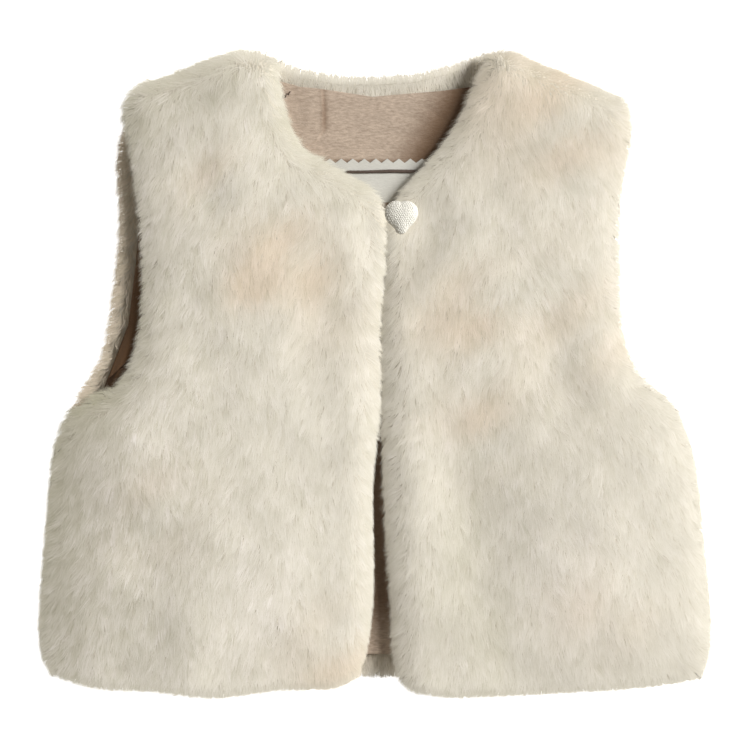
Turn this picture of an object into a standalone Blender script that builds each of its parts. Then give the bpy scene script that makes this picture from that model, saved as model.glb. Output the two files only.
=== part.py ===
"""A small child's faux-fur gilet, laid flat on its back with its fronts buttoned at the neck.

+X runs to the wearer's left, +Y from hem to shoulders and +Z up from the surface that the gilet lies on.
The origin is on that surface, under the middle of the gilet. Sizes are in millimetres until they reach
Blender, which works in metres.

Each panel is a four-sided patch between its hem, its top and its two sides, so a panel's table holds only
the points that those edges need. A fur panel is as thick as its pile: rounded at every edge, crowned over
the panel and pressed flat where it lies on the surface. A lining is a thin wall made from its panel's patch.
"""

import math

import bmesh
import bpy
import numpy as np

MM = 0.001
GAP = 0.3  # between pieces that touch or are sewn together

# Heights of the layers above the surface
BACK_RIM_UP = 4.2  # where the back's pile reaches furthest out
BACK_TOP_UP = 8.0  # pile pressed by the weight above, and the knitted ground
LINING_THICK = 1.1
LABEL_THICK = 0.4
BACK_LINING_UP = BACK_TOP_UP + 2 * GAP
LABEL_UP = BACK_LINING_UP + LINING_THICK + GAP
FRONT_LINING_UP = LABEL_UP + LABEL_THICK + GAP
FRONT_LOW_UP = FRONT_LINING_UP + LINING_THICK + GAP
FRONT_SEAM_UP = BACK_TOP_UP + GAP  # where a front is sewn to the back
FRONT_RIM_UP = 15.0
FRONT_TOP_UP = 23.0
FRONT_CROWN = 4.5  # further rise of the pile towards the middle of a front
CROWN_REACH = 26.0
SIDE_FALL = 5.0  # how much thinner a front lies along its side seam and armhole
SIDE_FALL_REACH = 30.0

# Roundness of the pile at an edge, and the height of the rim left upright
BACK_ROUND = 4.5
FRONT_ROUND_ABOVE = 9.0
FRONT_ROUND_BELOW = 5.0
RIM_HEIGHT = 1.2

# A front rises from its side and shoulder seams to clear the linings between them
SEAM_FLAT = 4.0
SEAM_RISE = 6.0
UNDERARM_UP = -20.0  # the side seam ends at this height on the plan

# The back's pile stands up along the neck, where no front covers it
NECK_ROLL_WIDTH = 8.0
NECK_ROLL_HEIGHT = 4.5
NECK_ROLL_HALF_LENGTH = 38.0
NECK_ROLL_FADE = 8.0

# Edges of the panels on the plan. Each row is a point of the edge: (across, up).
BACK = {
    "hem": ((-160, -147), (-139, -152), (-70, -153.5), (0, -152), (70, -153.5), (139, -151.5), (158, -147)),
    "left": (
        (-160, -147),
        (-164.5, -136),
        (-162.5, -85),
        (-156, -27),
        (-150, -11),
        (-139, 4),
        (-132, 40),
        (-128.5, 75),
        (-129.5, 112),
        (-122, 136),
    ),
    "right": (
        (158, -147),
        (163.5, -136),
        (160, -80),
        (153, -36),
        (143, -13),
        (129, -1),
        (120, 20),
        (118, 55),
        (119, 92),
        (124, 131),
    ),
    "top": (
        (-122, 136),
        (-108, 148),
        (-70, 161),
        (-58, 160.5),
        (-28, 151),
        (0, 149.5),
        (28, 152),
        (56, 161),
        (68, 160),
        (113, 142),
        (124, 131),
    ),
}
FRONT_RIGHT = {
    "hem": ((-162, -150), (-140, -157), (-112, -158.5), (-80, -162), (-48, -158), (-20, -157), (-8, -151)),
    "left": (
        (-162, -150),
        (-167, -138),
        (-165, -85),
        (-157, -27),
        (-147, -14),
        (-134, -10),
        (-123, 2),
        (-117, 25),
        (-116, 55),
        (-119, 92),
        (-126, 131),
    ),
    "right": (
        (-8, -151),
        (-4, -137),
        (-1, -110),
        (-1, -50),
        (3, -10),
        (2.5, 25),
        (5, 55),
        (5, 80),
        (0, 91.5),
        (-19, 103),
        (-35, 112.5),
        (-44, 128),
        (-47, 142),
        (-49, 158),
    ),
    "top": ((-126, 131), (-120, 143), (-98, 151), (-70, 162), (-58, 161.5), (-49, 158)),
}
FRONT_LEFT = {
    "hem": ((11.5, -149), (16, -156), (30, -161), (60, -161), (99, -159), (141, -156), (163, -152)),
    "left": (
        (11.5, -149),
        (9.5, -137),
        (8.5, -110),
        (5.5, -65),
        (4.2, -10),
        (3.8, 25),
        (6.3, 55),
        (6.4, 78),
        (11, 88),
        (24, 103.5),
        (34, 114.5),
        (44.5, 132),
        (51, 148),
        (56, 160.5),
    ),
    "right": (
        (163, -152),
        (167.5, -138),
        (164, -80),
        (158, -36),
        (147, -13),
        (132, -1),
        (124, 20),
        (122, 55),
        (123, 92),
        (128, 118),
        (127, 132),
    ),
    "top": ((56, 160.5), (64, 162.5), (85, 154.5), (113, 143), (124, 137.5), (127, 132)),
}
FRONT_RIGHT_OUTER = "left"
FRONT_LEFT_OUTER = "right"
EDGE_NAMES = ("hem", "right", "top", "left")

# Soft troughs and ridges of the pile: (across, up, heading in degrees, length, width, height)
FRONT_FOLDS = (
    (-112, -13, 20, 50, 20, 2.2),
    (-122, -75, -37, 75, 11, -2.4),
    (-124, -128, 84, 60, 17, -2.6),
    (-90, -122, 84, 70, 11, 1.6),
    (-52, -42, 20, 80, 12, -2.2),
    (-85, 100, -58, 36, 11, -2.6),
    (-27, 40, 82, 56, 10, -1.4),
    (-11, -40, 88, 190, 11, 1.6),
    (54, -83, -76, 150, 18, -3.4),
    (20, -60, -88, 150, 11, 1.4),
    (92, 10, -72, 64, 11, -2.4),
    (34, 37, 0, 40, 10, -1.8),
    (112, -92, -80, 100, 20, 1.6),
)
# The back lining is pleated beside the wearer's right shoulder seam
LINING_FOLDS = ((-33, 131, 84, 30, 5, 1.2), (14, 124, 8, 34, 7, 0.5), (8, -95, 90, 70, 4, 0.5))

# Insets of the linings from their panels' edges
BACK_LINING_INSET = 12.5
FRONT_LINING_INSET = 15.0

# Woven label, pinked along its top
LABEL_WIDTH = 52.0
LABEL_HEIGHT = 22.0
LABEL_ACROSS = 0.5
LABEL_TOP_UP = 108.2
LABEL_TEETH = 9
LABEL_TOOTH_DEPTH = 2.2

# Heart-shaped button, which presses the pile down where it sits
BUTTON_WIDTH = 17.0
BUTTON_HEIGHT = 17.0
BUTTON_ROUNDING = 3.4  # radius of the heart's point
BUTTON_DOME = 3.4  # rise of its face above its rim
BUTTON_UNDERSIDE = 1.0  # drop of its underside below its rim
BUTTON_ACROSS = 13.2
BUTTON_UP = 78.0
BUTTON_SEAT_UP = 22.0
BUTTON_SEAT_RADIUS = 17.0
BUTTON_SEAT_FADE = 9.0

# Fineness of the meshes
FRONT_STEPS = (28, 40)
BACK_STEPS = (22, 28)
LINING_STEPS = (10, 14)
BUTTON_STEPS = (36, 12)
CURVE_STEPS = 400

# Finish of each cloth and of the button: (red, green, blue, roughness)
FUR_FINISH = (0.74, 0.69, 0.57, 0.95)
LINING_FINISH = (0.56, 0.44, 0.36, 0.9)
LABEL_FINISH = (0.86, 0.86, 0.80, 0.6)
BUTTON_FINISH = (0.87, 0.86, 0.82, 0.25)


def remove_startup_objects():
    for old in list(bpy.data.objects):
        bpy.data.objects.remove(old, do_unlink=True)


def smooth_curve(rows):
    """Points of a smooth curve through the rows of an edge table, close together."""
    knots = np.array(rows, float)
    chords = np.linalg.norm(np.diff(knots, axis=0), axis=1)
    times = np.concatenate([[0.0], np.cumsum(np.sqrt(chords))])
    slopes = np.gradient(knots, times, axis=0)
    fine = np.linspace(0.0, times[-1], CURVE_STEPS)
    span = np.clip(np.searchsorted(times, fine, side="right") - 1, 0, len(times) - 2)
    width = times[span + 1] - times[span]
    s = ((fine - times[span]) / width)[:, None]
    width = width[:, None]
    return (
        knots[span] * (1 + 2 * s) * (1 - s) ** 2
        + slopes[span] * width * s * (1 - s) ** 2
        + knots[span + 1] * s**2 * (3 - 2 * s)
        + slopes[span + 1] * width * s**2 * (s - 1)
    )


def along(curve, fractions):
    """Points of a curve at these fractions of its length."""
    steps = np.linalg.norm(np.diff(curve, axis=0), axis=1)
    length = np.concatenate([[0.0], np.cumsum(steps)])
    at = np.asarray(fractions) * length[-1]
    return np.stack([np.interp(at, length, curve[:, k]) for k in range(2)], axis=-1)


class Panel:
    """A four-sided patch on the plan, with the distances that shape its edges."""

    def __init__(self, edges, outer=None):
        self.curves = {name: smooth_curve(edges[name]) for name in EDGE_NAMES}
        self.outline = np.concatenate(
            [
                self.curves["hem"],
                self.curves["right"],
                self.curves["top"][::-1],
                self.curves["left"][::-1],
            ]
        )
        if outer:
            self.side = self.curves[outer]
            below_arm = self.side[self.side[:, 1] < UNDERARM_UP]
            self.seams = np.concatenate([self.curves["top"], below_arm])

    def points(self, u, v):
        """Points of the patch, u from its left edge to its right and v from its hem to its top."""
        hem, top = along(self.curves["hem"], u), along(self.curves["top"], u)
        left, right = along(self.curves["left"], v), along(self.curves["right"], v)
        a, b = u[:, None], v[:, None]
        corners = (
            self.curves["hem"][0] * (1 - a) * (1 - b)
            + self.curves["hem"][-1] * a * (1 - b)
            + self.curves["top"][0] * (1 - a) * b
            + self.curves["top"][-1] * a * b
        )
        return (1 - b) * hem + b * top + (1 - a) * left + a * right - corners

    def inset_points(self, u, v, inset):
        """As points, with the patch drawn in from each edge by the inset."""
        across = np.linalg.norm(
            self.points(np.ones_like(v), v) - self.points(np.zeros_like(v), v), axis=1
        )
        upright = np.linalg.norm(
            self.points(u, np.ones_like(u)) - self.points(u, np.zeros_like(u)), axis=1
        )
        margin_u, margin_v = inset / across, inset / upright
        return self.points(margin_u + u * (1 - 2 * margin_u), margin_v + v * (1 - 2 * margin_v))

    def from_edge(self, points):
        return distance_to(points, self.outline)

    def from_seams(self, points):
        return distance_to(points, self.seams)

    def from_side(self, points):
        return distance_to(points, self.side)


def distance_to(points, line):
    """How far each point is from the nearest point of a closely sampled line."""
    return np.linalg.norm(points[:, None, :] - line[None, :, :], axis=2).min(axis=1)


def plan_centre(panels):
    """The middle of the gilet's outline."""
    everything = np.concatenate([panel.outline for panel in panels])
    return (everything.min(axis=0) + everything.max(axis=0)) / 2


def rounded(distance, radius):
    """Height of a quarter circle above an edge, from 0 at the edge to 1 at its radius."""
    return np.sqrt(1 - (1 - np.minimum(distance / radius, 1.0)) ** 2)


def smoothstep(low, high, value):
    t = np.clip((value - low) / (high - low), 0.0, 1.0)
    return t * t * (3 - 2 * t)


def folds_at(points, folds):
    """Height of the soft troughs and ridges at each point."""
    total = np.zeros(len(points))
    for across, up, heading, length, width, height in folds:
        angle = math.radians(heading)
        offset = points - (across, up)
        lengthwise = offset @ (math.cos(angle), math.sin(angle))
        crosswise = offset @ (-math.sin(angle), math.cos(angle))
        total += height * np.exp(-((2 * lengthwise / length) ** 2) - (crosswise / width) ** 2)
    return total


def back_heights(panel, points):
    """Lower and upper heights of the back's fur, flat below and rolled up along the neck."""
    edge = panel.from_edge(points)
    low = BACK_RIM_UP * (1 - rounded(edge, BACK_ROUND))
    from_neck = distance_to(points, panel.curves["top"])
    half = NECK_ROLL_WIDTH / 2
    roll = (1 - np.minimum(np.abs(from_neck - half) / half, 1.0) ** 2) ** 2
    beyond = np.abs(points[:, 0])
    roll *= 1 - smoothstep(NECK_ROLL_HALF_LENGTH, NECK_ROLL_HALF_LENGTH + NECK_ROLL_FADE, beyond)
    high = BACK_RIM_UP + (BACK_TOP_UP - BACK_RIM_UP) * rounded(edge, BACK_ROUND)
    return low, high + NECK_ROLL_HEIGHT * roll


def front_heights(panel, points):
    """Lower and upper heights of a front's fur, with its crown, its folds and the button's seat."""
    edge = panel.from_edge(points)
    clear = smoothstep(SEAM_FLAT, SEAM_FLAT + SEAM_RISE, panel.from_seams(points))
    floor = FRONT_SEAM_UP + (FRONT_LOW_UP - FRONT_SEAM_UP) * clear
    low = FRONT_RIM_UP - (FRONT_RIM_UP - floor) * rounded(edge, FRONT_ROUND_BELOW)
    crown = FRONT_TOP_UP + FRONT_CROWN * (1 - np.exp(-edge / CROWN_REACH))
    crown -= SIDE_FALL * np.exp(-panel.from_side(points) / SIDE_FALL_REACH)
    crown += folds_at(points, FRONT_FOLDS)
    high = FRONT_RIM_UP + (crown - FRONT_RIM_UP) * rounded(edge, FRONT_ROUND_ABOVE)
    from_button = np.linalg.norm(points - (BUTTON_ACROSS, BUTTON_UP), axis=1)
    pressed = 1 - smoothstep(BUTTON_SEAT_RADIUS, BUTTON_SEAT_RADIUS + BUTTON_SEAT_FADE, from_button)
    return low, high - pressed * np.maximum(high - BUTTON_SEAT_UP, 0.0)


def grid_with_two_layers(steps):
    """A square grid and a copy above it, joined round their edges: (mesh, lower points, upper points)."""
    sheet = bmesh.new()
    bmesh.ops.create_grid(sheet, x_segments=steps[0], y_segments=steps[1], size=1.0)
    lower = list(sheet.verts)
    extruded = bmesh.ops.extrude_face_region(sheet, geom=list(sheet.faces))
    upper = [item for item in extruded["geom"] if isinstance(item, bmesh.types.BMVert)]
    return sheet, lower, upper


def edge_weighted(positions):
    """Grid positions from -1 to 1 as fractions that lie closer together towards both edges."""
    return (1 - np.cos(math.pi * (positions + 1) / 2)) / 2


def place_layer(verts, plan_of, height_of):
    """Moves one layer of a grid onto its panel: plan_of(u, v) on the plan, height_of(points) above it."""
    flat = np.array([vert.co[:2] for vert in verts])
    on_rim = np.abs(flat).max(axis=1) > 1 - 1e-6
    points = plan_of(edge_weighted(flat[:, 0]), edge_weighted(flat[:, 1]))
    heights = height_of(points, on_rim)
    for vert, point, height in zip(verts, points, heights):
        vert.co = (point[0] * MM, point[1] * MM, height * MM)


def object_from(mesh_builder, name):
    """An object from an edit mesh, with its faces pointing out and its round parts shaded smooth."""
    bmesh.ops.recalc_face_normals(mesh_builder, faces=list(mesh_builder.faces))
    mesh = bpy.data.meshes.new(name)
    mesh_builder.to_mesh(mesh)
    mesh_builder.free()
    mesh.shade_smooth()
    return bpy.data.objects.new(name, mesh)


def fur_panel(name, panel, heights_of, rim_up, steps):
    """A panel of pile fabric as one solid, between its lower and upper heights."""
    sheet, lower, upper = grid_with_two_layers(steps)
    half_rim = RIM_HEIGHT / 2

    def low(points, on_rim):
        return np.where(on_rim, rim_up - half_rim, heights_of(panel, points)[0])

    def high(points, on_rim):
        return np.where(on_rim, rim_up + half_rim, heights_of(panel, points)[1])

    place_layer(lower, panel.points, low)
    place_layer(upper, panel.points, high)
    return object_from(sheet, name)


def lining_panel(name, panel, inset, up, folds=()):
    """A lining as a thin wall of even thickness, made from its panel's patch."""
    sheet, lower, upper = grid_with_two_layers(LINING_STEPS)

    def plan_of(u, v):
        return panel.inset_points(u, v, inset)

    def low(points, _on_rim):
        return up + folds_at(points, folds)

    def high(points, on_rim):
        return low(points, on_rim) + LINING_THICK

    place_layer(lower, plan_of, low)
    place_layer(upper, plan_of, high)
    return object_from(sheet, name)


def flat_outline(name, points, half_thick):
    """A flat piece cut to a closed outline in millimetres, centred on its own thickness."""
    curve = bpy.data.curves.new(name, "CURVE")
    curve.dimensions = "2D"
    curve.fill_mode = "BOTH"
    curve.extrude = half_thick * MM
    spline = curve.splines.new("POLY")
    spline.points.add(len(points) - 1)
    for target, (x, y) in zip(spline.points, points):
        target.co = (x * MM, y * MM, 0.0, 1.0)
    spline.use_cyclic_u = True
    return bpy.data.objects.new(name, curve)


def woven_label():
    """A flat label whose top is cut into teeth."""
    half = LABEL_WIDTH / 2
    pitch = LABEL_WIDTH / LABEL_TEETH
    points = [(-half, -LABEL_HEIGHT), (half, -LABEL_HEIGHT), (half, -LABEL_TOOTH_DEPTH)]
    for tooth in range(LABEL_TEETH):
        right = half - tooth * pitch
        points.append((right - pitch / 2, 0.0))
        points.append((right - pitch, -LABEL_TOOTH_DEPTH))
    label = flat_outline("label", points, LABEL_THICK / 2)
    label.location = (LABEL_ACROSS * MM, LABEL_TOP_UP * MM, (LABEL_UP + LABEL_THICK / 2) * MM)
    return label


def heart_reach(angle):
    """How far the outline of a heart with a rounded point is from its middle in this direction."""
    turn = np.linspace(0.0, 2 * math.pi, CURVE_STEPS)
    x = np.sin(turn) ** 3
    y = 13 * np.cos(turn) - 5 * np.cos(2 * turn) - 2 * np.cos(3 * turn) - np.cos(4 * turn)
    x = x / np.ptp(x) * (BUTTON_WIDTH - 2 * BUTTON_ROUNDING)
    y = (y - (y.max() + y.min()) / 2) / np.ptp(y) * (BUTTON_HEIGHT - 2 * BUTTON_ROUNDING)
    along = x * math.cos(angle) + y * math.sin(angle)
    aside = y * math.cos(angle) - x * math.sin(angle)
    near = np.abs(aside) < BUTTON_ROUNDING
    return np.max(along[near] + np.sqrt(BUTTON_ROUNDING ** 2 - aside[near] ** 2))


def heart_button():
    """A puffed heart that lies on the pile it presses down: a sphere drawn out to a heart's outline."""
    ball = bmesh.new()
    bmesh.ops.create_uvsphere(ball, u_segments=BUTTON_STEPS[0], v_segments=BUTTON_STEPS[1], radius=1.0)
    for vert in ball.verts:
        x, y, z = vert.co
        reach = heart_reach(math.atan2(y, x))
        height = z * (BUTTON_DOME if z > 0 else BUTTON_UNDERSIDE)
        vert.co = (x * reach * MM, y * reach * MM, height * MM)
    button = object_from(ball, "button")
    button.location = (BUTTON_ACROSS * MM, BUTTON_UP * MM, (BUTTON_SEAT_UP + GAP + BUTTON_UNDERSIDE) * MM)
    return button


def material(name, finish):
    red, green, blue, roughness = finish
    made = bpy.data.materials.new(name)
    made.use_nodes = True
    shader = made.node_tree.nodes["Principled BSDF"]
    shader.inputs["Base Color"].default_value = (red, green, blue, 1.0)
    shader.inputs["Roughness"].default_value = roughness
    shader.inputs["Metallic"].default_value = 0.0
    return made


def main():
    remove_startup_objects()
    gilet = bpy.data.collections.new("gilet")
    bpy.context.scene.collection.children.link(gilet)

    back = Panel(BACK)
    front_right = Panel(FRONT_RIGHT, FRONT_RIGHT_OUTER)
    front_left = Panel(FRONT_LEFT, FRONT_LEFT_OUTER)

    fur = material("cream_pile", FUR_FINISH)
    jersey = material("beige_marl_jersey", LINING_FINISH)
    pieces = [
        (fur_panel("back_fur", back, back_heights, BACK_RIM_UP, BACK_STEPS), fur),
        (fur_panel("front_right_fur", front_right, front_heights, FRONT_RIM_UP, FRONT_STEPS), fur),
        (fur_panel("front_left_fur", front_left, front_heights, FRONT_RIM_UP, FRONT_STEPS), fur),
        (lining_panel("back_lining", back, BACK_LINING_INSET, BACK_LINING_UP, LINING_FOLDS), jersey),
        (lining_panel("front_right_lining", front_right, FRONT_LINING_INSET, FRONT_LINING_UP), jersey),
        (lining_panel("front_left_lining", front_left, FRONT_LINING_INSET, FRONT_LINING_UP), jersey),
        (woven_label(), material("white_label", LABEL_FINISH)),
        (heart_button(), material("pearl_button", BUTTON_FINISH)),
    ]

    centre = plan_centre((back, front_right, front_left))
    middle = bpy.data.objects.new("gilet_middle", None)
    middle.location = (-centre[0] * MM, -centre[1] * MM, 0.0)
    gilet.objects.link(middle)
    for piece, finish in pieces:
        piece.data.materials.append(finish)
        piece.parent = middle
        gilet.objects.link(piece)


main()
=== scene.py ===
"""Looks of the faux-fur gilet: pile, undercoat, jersey linings, label, button, light and camera.

Everything is in metres in the CAD frame: +X to the wearer's left, +Y from hem to shoulders, +Z up.
Sizes are written in millimetres and multiplied by MM.
"""

import math
from types import SimpleNamespace

import bmesh
import bpy
import numpy as np
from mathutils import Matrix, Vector, kdtree
from mathutils.bvhtree import BVHTree


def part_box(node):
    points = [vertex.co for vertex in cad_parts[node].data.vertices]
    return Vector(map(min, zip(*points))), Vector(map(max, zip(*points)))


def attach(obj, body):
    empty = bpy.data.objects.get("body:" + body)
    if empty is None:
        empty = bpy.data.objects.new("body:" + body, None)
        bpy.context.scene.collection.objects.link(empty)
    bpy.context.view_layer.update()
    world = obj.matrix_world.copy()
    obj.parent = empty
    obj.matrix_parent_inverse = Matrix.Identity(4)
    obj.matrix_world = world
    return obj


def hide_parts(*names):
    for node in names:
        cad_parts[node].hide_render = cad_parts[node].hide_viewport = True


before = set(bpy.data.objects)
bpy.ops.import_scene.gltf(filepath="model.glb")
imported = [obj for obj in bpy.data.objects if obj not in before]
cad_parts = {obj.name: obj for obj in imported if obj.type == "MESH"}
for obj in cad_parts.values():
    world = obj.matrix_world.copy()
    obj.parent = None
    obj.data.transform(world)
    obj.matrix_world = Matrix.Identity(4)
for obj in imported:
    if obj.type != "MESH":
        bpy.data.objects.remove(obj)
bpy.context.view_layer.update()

MM = 0.001
TINY = 1e-12  # keeps a division by nothing from failing
JOIN_DISTANCE = 1e-6  # points of a solid nearer than this are one
HIGH_ABOVE = 0.1  # higher than the gilet
UP = Vector((0, 0, 1))
DOWN = Vector((0, 0, -1))
WAVE_COUNT = 9
WAVE_LENGTHS = (0.6, 1.7)  # of the waves in an uneven value, as shares of the length asked for

# Parts of a solid, by how much they face up
TOPSIDE = 0.5
UNDERSIDE = -0.6
FRONT_UNDERSIDE = -0.35
RIM_FACING = 0.75  # its rim faces up or down less than this

# Seeds of the random draws
FUR_SEEDS = {"back_fur": 300, "front_right_fur": 100, "front_left_fur": 200}
LAYER_SEEDS = 10  # seeds kept for each layer of a front's strands
CLOUD_SEED = 55
BLUSH_SEED = 71
LABEL_SEED = 41
STRIPE_SEED = 42
BEAD_SEED = 61

# Photograph's frame: 750 pixels for 375 mm at the height of the fur's rim
FRAME_WIDTH = 375 * MM
CAMERA_UP = 1.6
CAMERA_SHIFT = -0.6 * MM  # the photograph's middle lies this far below the gilet's
RIM_UP = 15 * MM
SENSOR_WIDTH = 36.0

# Depth of the pile under the outer surface of each solid
FRONT_PILE = 4.8 * MM
FRONT_UNDERCOAT = 3.4 * MM  # how far the undercoat lies below the top of the pile
RIM_UNDERCOAT = 1.7 * MM  # and within its rim
INNER_UNDERCOAT = 0.6 * MM  # and within the edge at the neck and the gap
UNDERCOAT_EASE = 7.0 * MM  # how far in from the rim that is so
UNDERCOAT_LEVELS = (-0.2, 0.6)  # how level the pile is where the undercoat starts to sink, and has sunk
BACK_PILE = 3.0 * MM
BACK_UNDER_PILE = 1.8 * MM
BACK_TOP = 0.6  # where the back faces up more than this, its pile is only a band along its edges
BACK_BAND = 13.5 * MM  # how wide that band is
BACK_BAND_EASE = 3 * MM  # and over what length it ends
INNER_FACING = (0.2, 0.5)  # how much an edge faces the gap where it starts to count as inner, and does

# Layers of a front's strands: band along its rim, turn outwards there, shares of width and of reach out
RIM_TURN = 1.5
RIM_TURN_REACH = 10.0 * MM
RIM_TURN_WAVE = (0.3, 14 * MM)  # how uneven that turn is, and over what length
PILE = SimpleNamespace(name="pile", strands=54000, band=1.0, turn=RIM_TURN, width=1.0, shares=(0.0, 1.0))
FRINGE = SimpleNamespace(name="fringe", strands=9000, band=4 * MM, turn=3.0, width=0.45, shares=(0.7, 1.15))
FRONT_LAYERS = (PILE, PILE, FRINGE)

# Ranges of a strand: spread of its turn in radians, and shares of height, reach, pull into a lock and width
FRONT_RANGES = SimpleNamespace(
    turn=0.22, rises=(0.82, 1.06), runs=(0.65, 1.25), pulls=(0.6, 1.2), widths=(0.7, 1.3)
)
BACK_RANGES = SimpleNamespace(
    turn=0.25, rises=(0.72, 1.05), runs=(0.65, 1.2), pulls=(0.6, 1.2), widths=(0.6, 1.2)
)
FRONT_DENSITIES = (1.0, 1.5, 0.0)  # how densely strands grow on top, at the rim and on the underside
BACK_DENSITIES = (2.6, 2.2, 0.35)

# Strands, each a tapered ribbon
STRAND_WIDTH = 0.37 * MM
STRAND_REACH = 10.5 * MM  # how far a strand lies along the surface
STRAND_RISE = (0.0, 0.82, 1.0)  # share of its height at each station
STRAND_RUN = (0.0, 0.42, 1.0)  # share of its reach at each station
STRAND_TAPER = (0.8, 1.0)  # share of its width at each station before the tip
STRAND_ROLL = 0.3  # radians either way
STRAND_BEND = 0.72  # how light a strand is at its bend, from its root's colour, partly painted shade, to its tip's
STRAND_SOFTNESS = 5.0  # how much more a strand is shaded as the pile's surface than as a ribbon
STEEPEST = 0.28  # slope that the pile's shading comes near to at a rim, where light soaks into it
BACK_STRANDS = 50000
BACK_TUFTS = 6000
BACK_TRIES = 4  # points tried for each strand of the back, most of which lie under the fronts
BACK_REACH = 7.0 * MM
BACK_WIDTH = 0.25 * MM
BACK_ROOT_PLACE = 0.55  # how light the back's strands are where they show first, from root to tip
BACK_SIDE_FACING = (0.4, 0.8)  # how much an edge faces aside where it starts to count as a side, and does
BACK_SIDE_PAINTED_SHADE = 0.93  # how much darker the strands are at the sides than at the neck, as painted shade
BACK_SIDE_WARM_SHADE = 1.0  # and how much warmer, as painted warm shade in the armhole
BACK_DROP = 0.6  # how much more the pile of the back's side edges lies down along them than across
BACK_SINK = 0.4  # how much it turns down over an edge
BACK_TURN_OVER = 1.8  # how much it turns back over the lining
BACK_INWARDS = (5.0 * MM, 10.0 * MM)  # how far from a side edge it does
FLOOR_CLEARANCE = 0.05 * MM
COVER_CLEARANCE = 0.2 * MM  # a front that covers the back is further above it than this
UV_ROW = 2 * MM  # strands with roots in one row of this height are side by side in the texture
UV_SIDES = (0.2, 0.8)  # a ribbon's sides, root, climb and tip in its own cell of the texture
UV_ROOT = 0.15
UV_CLIMB = 0.6
UV_TIP = (0.5, 0.85)

# Way that the pile lies: outwards towards the sides, uneven, and down
FLOW_WIDTH = 150 * MM
FLOW_OUT = 0.34
FLOW_WAVES = ((0.16, 55 * MM), (0.10, 24 * MM))  # how uneven, and over what length
FLOW_SINK = 0.3

# Edges of the pile: how far tips stand out there, how fine the strands are, and how much painted shade
# darkens them
RIM_FUZZ = (0.2 * MM, 1.7 * MM)  # how far a tip may stand out of the solid's rim, least and most
RIM_FUZZ_UPPER = 1.5 * MM  # how much further above the waist
RIM_FUZZ_WAIST = (-70.0 * MM, 10.0 * MM)
RIM_FUZZ_TOP = {"front_right_fur": 3.2 * MM, "front_left_fur": 3.2 * MM, "back_fur": 5.0 * MM}  # and on top
RIM_FUZZ_POWER = 2  # how few of the tips stand far out
HOLD_STEPS = 5  # halvings to find how long such a strand may be
TOP_FUZZ = (0.4 * MM, 2.2 * MM)  # how far a tip may stand out of the solid's top
RIM_BAND = (2.1 * MM, 7.0 * MM)  # strands this near to a rim are finer, and a little darker by painted shade
RIM_WIDTH = 0.6
RIM_PAINTED_SHADE = 0.95
PARTING_REACH = (9.0 * MM, 17.0 * MM)  # how far from a side, or a shoulder, roots lose most of their painted shade and are nearly as light as tips
PARTING_PLACE = 0.62  # how light
PARTING_FACING = (-0.6, 0.2)  # how much a rim faces the shoulders where that starts, and is in full
PARTING_EASE = (0.5, 1.0)  # where it fades, as shares of its reach

# How much more each front falls away to its side than its solid does, from where to where across
SIDE_LEAN = {
    "front_right_fur": (0.45, 110.0 * MM, 168.0 * MM),
    "front_left_fur": (-0.16, 40.0 * MM, 105.0 * MM),
}
# Soft dents and swells of the pile: (across, up, reach across, reach up, lean to the wearer's left), in mm
SWELLS = (
    (93, -107, 28, 38, 0.13),
    (50, -118, 16, 45, -0.09),
    (93, 0, 18, 15, -0.07),
    (100, 128, 25, 20, -0.07),
    (-100, 22, 17, 34, 0.10),
    (-117, -28, 12, 15, 0.10),
    (-117, 12, 10, 26, -0.08),
    (-145, -30, 20, 26, -0.13),
    (-56, 138, 25, 14, -0.10),
    (-85, 148, 30, 10, -0.10),
    (-30, -72, 14, 40, 0.07),
    (-12, -105, 9, 50, -0.06),
    (-22, 78, 20, 25, -0.07),
    (-73, 50, 25, 20, 0.05),
    (-85, -75, 30, 48, -0.05),
)
# Painted shade on the pile, and painted light where the amount is below nought; last the painted
# shadows of partings: (across, up, reach across, reach up, how much darker), in mm
PAINTED_SHADES = (
    (-160, -55, 14, 72, 0.15),
    (-137, -9, 12, 13, 0.28),
    (-153, -20, 9, 16, 0.09),
    (-118, 129, 9, 14, 0.12),
    (-46, 128, 9, 16, 0.11),
    (-30, 110, 10, 10, 0.09),
    (-13, 94, 10, 9, 0.09),
    (-119, 32, 8, 30, 0.16),
    (-116, -20, 11, 15, -0.05),
    (94, -100, 30, 42, -0.07),
    (41, -88, 11, 38, 0.09),
    (59, -128, 11, 34, 0.09),
    (-54, -112, 22, 32, -0.06),
    (-87, 148, 32, 9, 0.08),
    (48.6, -60, 1.1, 11, 0.11),
    (50.6, -76, 1.0, 9, 0.10),
    (72.5, -71, 0.9, 10, 0.09),
    (83, -93, 0.9, 6, 0.12),
    (93, -36, 0.8, 5, 0.10),
    (-121, -69, 0.8, 5, 0.10),
)
TONE_WARMTH = 1.35  # how much more of its blue than of the rest a darker strand loses, which also makes the painted shade warm
# How uneven the tones of the strands are, more so where the pile lies in more shade, as painted
# self-shade: (across in mm, share of TUFT_TONE and STRAND_TONE)
UNEVEN = ((-160, 2.3), (-60, 1.4), (-5, 0.9), (50, 1.35), (110, 1.1), (150, 0.7))
TUFT_AREA = 6.0 * MM * MM  # of a front, for each of its locks
TUFT_PULL = 0.66  # how much a front's strands follow their locks
BACK_PULL = 0.34  # and the back's
TUFT_SPREAD = 0.35  # how far apart a lock's strands stay at its tip, as a share of that at their roots
TUFT_BEND = 0.24  # spread in radians
TUFT_HEIGHTS = (0.86, 1.06)  # shares of the pile's height and of a strand's reach
TUFT_REACHES = (0.7, 1.25)
TUFT_TONE = 0.027  # spread of the tones of locks, and of strands
STRAND_TONE = 0.03
CLOUD_LENGTH = 21.0 * MM  # soft waves that the pile is shaded with
CLOUD_HEIGHT = 0.22 * MM
CLOUD_STEP = CLOUD_LENGTH / 40  # over which a cloud's slope is measured

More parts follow.
